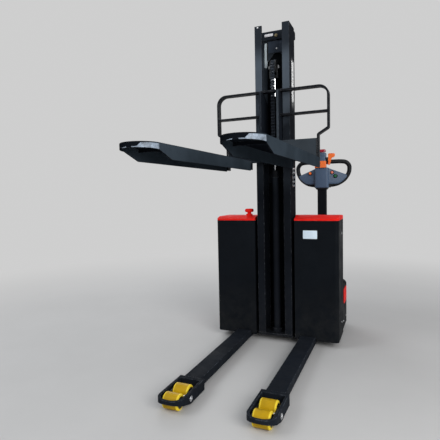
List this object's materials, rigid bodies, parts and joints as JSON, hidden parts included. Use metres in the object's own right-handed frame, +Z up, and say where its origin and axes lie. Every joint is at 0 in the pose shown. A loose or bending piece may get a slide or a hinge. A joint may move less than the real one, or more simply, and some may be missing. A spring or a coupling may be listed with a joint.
{
  "type": "electric stacker",
  "caption": "Walk-behind electric stacker: fixed mast with a chain-lifted fork carriage and load backrest, outrigger legs on rollers, steered drive wheel and tilting tiller.",
  "frame": {"origin": "on the floor, under the middle of the overall length, on the mast's centre plane", "axes": "+Z up, the forks point to -Y, +X is the tiller's side"},
  "size_m": [0.832, 1.88, 2.016],
  "materials": {
    "mast_paint": "gloss",
    "body_paint": "satin",
    "frame_paint": "satin",
    "fork_paint": "gloss",
    "red_plastic": "gloss",
    "chrome": "polished",
    "steel": "satin",
    "chain_steel": "oiled",
    "roller_yellow": "satin",
    "tyre": "matte",
    "grey_plastic": "textured",
    "black_rubber": "matte",
    "black_plastic": "textured",
    "crimson_plastic": "gloss",
    "orange_plastic": "satin",
    "green_plastic": "satin",
    "cast_iron": "rough",
    "aluminium": "satin"
  },
  "bodies": {
    "chassis": {"chassis_frame": "body_paint", "leg_left": "frame_paint", "leg_right": "frame_paint", "mast": "mast_paint", "mast_guard": "body_paint", "front_panel_left": "body_paint", "front_panel_right": "body_paint", "cap_left": "red_plastic", "cap_right": "red_plastic", "rear_skirt": "body_paint", "rear_hood": "body_paint", "side_trims": "red_plastic", "batteries": "black_plastic", "controller": "aluminium", "hydraulic_tank": "black_plastic", "pump_motor": "cast_iron", "cylinder_tube": "mast_paint", "cylinder_gland": "steel", "rear_chain_anchor": "steel", "emergency_switch": "black_plastic", "steering_bearing": "steel", "bogie_pins": "chrome", "chain_rear": "chain_steel"},
    "rod": {"piston_rod": "chrome", "sheave_yoke": "frame_paint", "sheave_pin": "steel", "chain_bend": "chain_steel", "chain_front": "chain_steel"},
    "sheave": {"sheave": "steel"},
    "carriage": {"carriage": "frame_paint", "backrest": "frame_paint", "fork_left": "fork_paint", "fork_right": "fork_paint", "front_chain_anchor": "steel"},
    "steering": {"drive_unit": "cast_iron", "tiller_base": "frame_paint", "tiller_pin": "steel"},
    "drive_wheel": {"drive_wheel": "tyre"},
    "castor_fork": {"castor_fork": "steel"},
    "castor_wheels": {"castor_wheels": "tyre"},
    "tiller": {"tiller_arm": "frame_paint", "tiller_head": "grey_plastic", "tiller_loop": "black_rubber"},
    "butterfly_lever": {"butterfly_lever": "orange_plastic"},
    "belly_button": {"belly_button": "crimson_plastic"},
    "horn_button": {"horn_button": "orange_plastic"},
    "lift_button": {"lift_button": "red_plastic"},
    "lower_button": {"lower_button": "green_plastic"},
    "emergency_knob": {"emergency_knob": "red_plastic"},
    "key_switch": {"key_switch": "steel"},
    "bogie_left": {"bogie_left": "steel"},
    "bogie_right": {"bogie_right": "steel"},
    "load_roller_left_front": {"load_roller_left_front": "roller_yellow"},
    "load_roller_left_rear": {"load_roller_left_rear": "roller_yellow"},
    "carriage_roller_lower_left": {"carriage_roller_lower_left": "steel"},
    "carriage_roller_upper_left": {"carriage_roller_upper_left": "steel"},
    "load_roller_right_front": {"load_roller_right_front": "roller_yellow"},
    "load_roller_right_rear": {"load_roller_right_rear": "roller_yellow"},
    "carriage_roller_lower_right": {"carriage_roller_lower_right": "steel"},
    "carriage_roller_upper_right": {"carriage_roller_upper_right": "steel"}
  },
  "joints": [
    {"name": "rod_slide", "type": "slide", "parent": "chassis", "child": "rod", "axis": [0, 0, 1], "range_m": [-0.544, 0.14], "deforming": ["chain_rear"]},
    {"name": "carriage_slide", "type": "slide", "parent": "rod", "child": "carriage", "axis": [0, 0, 1], "range_m": [-0.544, 0.14], "deforming": ["chain_front"]},
    {"name": "sheave_spin", "type": "hinge", "parent": "rod", "child": "sheave", "pos_m": [0, 0.355, 1.763], "axis": [1, 0, 0], "range_deg": [-192, 744]},
    {"name": "carriage_roller_lower_left_spin", "type": "hinge", "parent": "carriage", "child": "carriage_roller_lower_left", "pos_m": [-0.081, 0.369, 1.215], "axis": [1, 0, 0], "range_deg": [-288, 1116]},
    {"name": "carriage_roller_lower_right_spin", "type": "hinge", "parent": "carriage", "child": "carriage_roller_lower_right", "pos_m": [0.081, 0.369, 1.215], "axis": [1, 0, 0], "range_deg": [-288, 1116]},
    {"name": "carriage_roller_upper_left_spin", "type": "hinge", "parent": "carriage", "child": "carriage_roller_upper_left", "pos_m": [-0.081, 0.369, 1.485], "axis": [1, 0, 0], "range_deg": [-1116, 288]},
    {"name": "carriage_roller_upper_right_spin", "type": "hinge", "parent": "carriage", "child": "carriage_roller_upper_right", "pos_m": [0.081, 0.369, 1.485], "axis": [1, 0, 0], "range_deg": [-1116, 288]},
    {"name": "bogie_left_tilt", "type": "hinge", "parent": "chassis", "child": "bogie_left", "pos_m": [-0.212, -0.622, 0.037], "axis": [1, 0, 0], "range_deg": [-6, 6]},
    {"name": "load_roller_left_front_spin", "type": "hinge", "parent": "bogie_left", "child": "load_roller_left_front", "pos_m": [-0.212, -0.67, 0.037], "axis": [1, 0, 0], "continuous": true},
    {"name": "load_roller_left_rear_spin", "type": "hinge", "parent": "bogie_left", "child": "load_roller_left_rear", "pos_m": [-0.212, -0.574, 0.037], "axis": [1, 0, 0], "continuous": true},
    {"name": "bogie_right_tilt", "type": "hinge", "parent": "chassis", "child": "bogie_right", "pos_m": [0.212, -0.622, 0.037], "axis": [1, 0, 0], "range_deg": [-6, 6]},
    {"name": "load_roller_right_front_spin", "type": "hinge", "parent": "bogie_right", "child": "load_roller_right_front", "pos_m": [0.212, -0.67, 0.037], "axis": [1, 0, 0], "continuous": true},
    {"name": "load_roller_right_rear_spin", "type": "hinge", "parent": "bogie_right", "child": "load_roller_right_rear", "pos_m": [0.212, -0.574, 0.037], "axis": [1, 0, 0], "continuous": true},
    {"name": "steer", "type": "hinge", "parent": "chassis", "child": "steering", "pos_m": [0.23, 0.765, 0.35], "axis": [0, 0, 1], "range_deg": [-90, 90]},
    {"name": "drive_wheel_spin", "type": "hinge", "parent": "steering", "child": "drive_wheel", "pos_m": [0.23, 0.765, 0.115], "axis": [1, 0, 0], "continuous": true},
    {"name": "castor_swivel", "type": "hinge", "parent": "chassis", "child": "castor_fork", "pos_m": [-0.23, 0.765, 0.17], "axis": [0, 0, 1], "continuous": true},
    {"name": "castor_wheels_spin", "type": "hinge", "parent": "castor_fork", "child": "castor_wheels", "pos_m": [-0.23, 0.807, 0.0625], "axis": [1, 0, 0], "continuous": true},
    {"name": "tiller_tilt", "type": "hinge", "parent": "steering", "child": "tiller", "pos_m": [0.23, 0.765, 0.735], "axis": [-1, 0, 0], "range_deg": [0, 75], "stiffness_Nm_per_rad": 25, "springref_deg": -11.46},
    {"name": "butterfly_turn", "type": "hinge", "parent": "tiller", "child": "butterfly_lever", "pos_m": [0.23, 0.735, 1.204], "axis": [1, 0, 0], "range_deg": [-25, 25], "stiffness_Nm_per_rad": 0.6},
    {"name": "belly_press", "type": "slide", "parent": "tiller", "child": "belly_button", "axis": [0, 0, -1], "range_m": [0, 0.005], "stiffness_N_per_m": 800, "springref_m": -0.003},
    {"name": "horn_press", "type": "slide", "parent": "tiller", "child": "horn_button", "axis": [0, 1, 0], "range_m": [0, 0.003], "stiffness_N_per_m": 600, "springref_m": -0.001},
    {"name": "lift_press", "type": "slide", "parent": "tiller", "child": "lift_button", "axis": [0, 1, 0], "range_m": [0, 0.003], "stiffness_N_per_m": 600, "springref_m": -0.001},
    {"name": "lower_press", "type": "slide", "parent": "tiller", "child": "lower_button", "axis": [0, 1, 0], "range_m": [0, 0.003], "stiffness_N_per_m": 600, "springref_m": -0.001},
    {"name": "emergency_press", "type": "slide", "parent": "chassis", "child": "emergency_knob", "axis": [0, 0, -1], "range_m": [0, 0.008]},
    {"name": "key_turn", "type": "hinge", "parent": "chassis", "child": "key_switch", "pos_m": [-0.09, 0.79, 0.66], "axis": [0, 0, 1], "range_deg": [0, 60]}
  ],
  "couplings": [
    {"joint": "carriage_slide", "follows": "rod_slide", "ratio": 1},
    {"joint": "sheave_spin", "follows": "rod_slide", "rad_per_m": -23.81},
    {"joint": "carriage_roller_lower_left_spin", "follows": "rod_slide", "rad_per_m": -35.714},
    {"joint": "carriage_roller_lower_right_spin", "follows": "rod_slide", "rad_per_m": -35.714},
    {"joint": "carriage_roller_upper_left_spin", "follows": "rod_slide", "rad_per_m": 35.714},
    {"joint": "carriage_roller_upper_right_spin", "follows": "rod_slide", "rad_per_m": 35.714}
  ]
}
